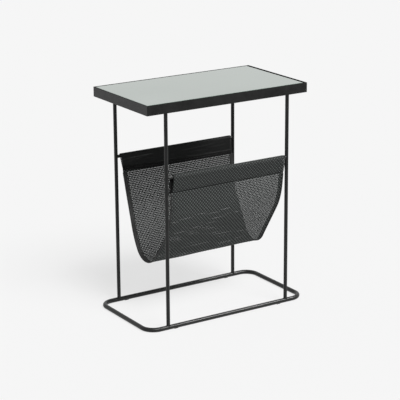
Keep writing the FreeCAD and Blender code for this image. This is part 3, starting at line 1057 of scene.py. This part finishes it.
def makeCamera():
    turn, rise, roll = (math.radians(cameraPlan[word]) for word in ("turn", "rise", "roll"))
    facing = Euler((math.pi / 2 - rise, 0, turn)).to_matrix() @ Matrix.Rotation(roll, 3, "Z")
    away = facing @ Vector((0, 0, cameraPlan["distance"]))
    bpy.ops.object.camera_add(location=Vector(cameraPlan["target"]) + away, rotation=facing.to_euler())
    camera = bpy.context.object
    camera.data.sensor_width = cameraPlan["sensor"]
    camera.data.lens = cameraPlan["lens"]
    bpy.context.scene.camera = camera


lightPlan = {
    "sky": 0.30,
    "white": 0.9216,             # the background as it is seen and reflected
    "sun": 3.0,
    "sunSpread": 28,
    "sunFrom": (0.05, -0.60, 0.79),
    "sunAt": (0.5, -3, 5),
    "lamp": 60,
    "lampSize": 0.5,
    "lampAt": (1.30, -1.10, 1.80),
}


def makeLight():
    world = bpy.data.worlds.new("studio")
    world.use_nodes = True
    bpy.context.scene.world = world
    tree = world.node_tree
    tree.nodes.clear()
    out = addNode(tree, "ShaderNodeOutputWorld")
    sky = addNode(tree, "ShaderNodeBackground")
    sky.inputs["Color"].default_value = (1, 1, 1, 1)
    path = addNode(tree, "ShaderNodeLightPath")
    seen = combine(tree, "MAXIMUM", path.outputs["Is Camera Ray"], path.outputs["Is Glossy Ray"])
    seen = combine(tree, "MAXIMUM", seen, path.outputs["Is Transmission Ray"])
    tree.links.new(span(tree, seen, lightPlan["sky"], lightPlan["white"], 0, 1), sky.inputs["Strength"])
    tree.links.new(sky.outputs[0], out.inputs["Surface"])

    bpy.ops.object.light_add(type="SUN", location=lightPlan["sunAt"])
    sun = bpy.context.object
    sun.data.energy = lightPlan["sun"]
    sun.data.angle = math.radians(lightPlan["sunSpread"])
    fromWhere = Vector(lightPlan["sunFrom"]).normalized()
    rise = math.asin(fromWhere.z)
    turn = math.atan2(fromWhere.x, -fromWhere.y)
    sun.rotation_euler = Euler((math.pi / 2 - rise, 0, turn))

    # a small lamp at the right, for the bright line along the base
    bpy.ops.object.light_add(type="AREA", location=lightPlan["lampAt"])
    lamp = bpy.context.object
    lamp.data.energy = lightPlan["lamp"]
    lamp.data.size = lightPlan["lampSize"]
    lamp.visible_diffuse = False
    lamp.rotation_euler = Vector(lightPlan["lampAt"]).to_track_quat("Z", "Y").to_euler()


floorPlan = {
    "size": 40,
    "level": 0.865,
    "clouds": (0.4, 1),
    "cloudStep": 0.004,
    "roughness": 0.9,
    "white": 0.9216,
    # share of plain white where it is looked at: behind the table, and elsewhere
    "seenWhite": (0.74, 0.85),
    "shadowAt": (-0.02, 0.24),
    "shadowReach": (0.10, 0.26),
    "darkFrom": (-0.35, -1.60),  # the studio is darker in front, which the coat reflects
    "darkest": 0.30,
}


def makeFloor():
    bpy.ops.mesh.primitive_plane_add(size=floorPlan["size"], location=(0, 0, 0))
    floor = bpy.context.object
    floor.name = "studio_floor"
    material, tree, shader = startMaterial("pale_floor")
    place = coordinates(tree, "Object")
    cloudy = noise(tree, place, *floorPlan["clouds"])
    dull, bright = [floorPlan["level"]] * 3, [floorPlan["level"] + floorPlan["cloudStep"]] * 3
    tree.links.new(ramp(tree, cloudy, dull, bright), shader.inputs["Base Color"])
    shader.inputs["Roughness"].default_value = floorPlan["roughness"]
    shader.inputs["Specular IOR Level"].default_value = 0.0
    path = addNode(tree, "ShaderNodeLightPath")
    glossy = path.outputs["Is Glossy Ray"]
    seen = combine(tree, "MAXIMUM", path.outputs["Is Camera Ray"], path.outputs["Is Transmission Ray"])

    # plain white, darker in front where it is reflected
    darkest = floorPlan["darkest"] / floorPlan["white"]
    inFront = span(tree, axes(tree, place)[1], 1.0, darkest, *floorPlan["darkFrom"])
    darker = combine(tree, "MULTIPLY", glossy, combine(tree, "SUBTRACT", inFront, 1.0))
    white = addNode(tree, "ShaderNodeEmission")
    white.inputs["Color"].default_value = (*[floorPlan["white"]] * 3, 1)
    tree.links.new(combine(tree, "ADD", darker, 1.0), white.inputs["Strength"])

    # less of that white behind the table, where the shadow falls
    aside = addNode(tree, "ShaderNodeVectorMath", operation="DISTANCE")
    aside.inputs[1].default_value = (*floorPlan["shadowAt"], 0)
    tree.links.new(place, aside.inputs[0])
    plain = span(tree, aside.outputs["Value"], *floorPlan["seenWhite"], *floorPlan["shadowReach"])
    share = combine(tree, "MULTIPLY", seen, plain)
    mix = addNode(tree, "ShaderNodeMixShader")
    tree.links.new(combine(tree, "MAXIMUM", share, glossy), mix.inputs["Fac"])
    tree.links.new(shader.outputs[0], mix.inputs[1])
    tree.links.new(white.outputs[0], mix.inputs[2])
    tree.links.new(mix.outputs[0], tree.nodes["Material Output"].inputs["Surface"])
    floor.data.materials.append(material)


bpy.ops.object.select_all(action="DESELECT")
makeCamera()
makeLight()
makeFloor()
bpy.context.scene.view_settings.view_transform = "Standard"
print("camera, light and floor set")
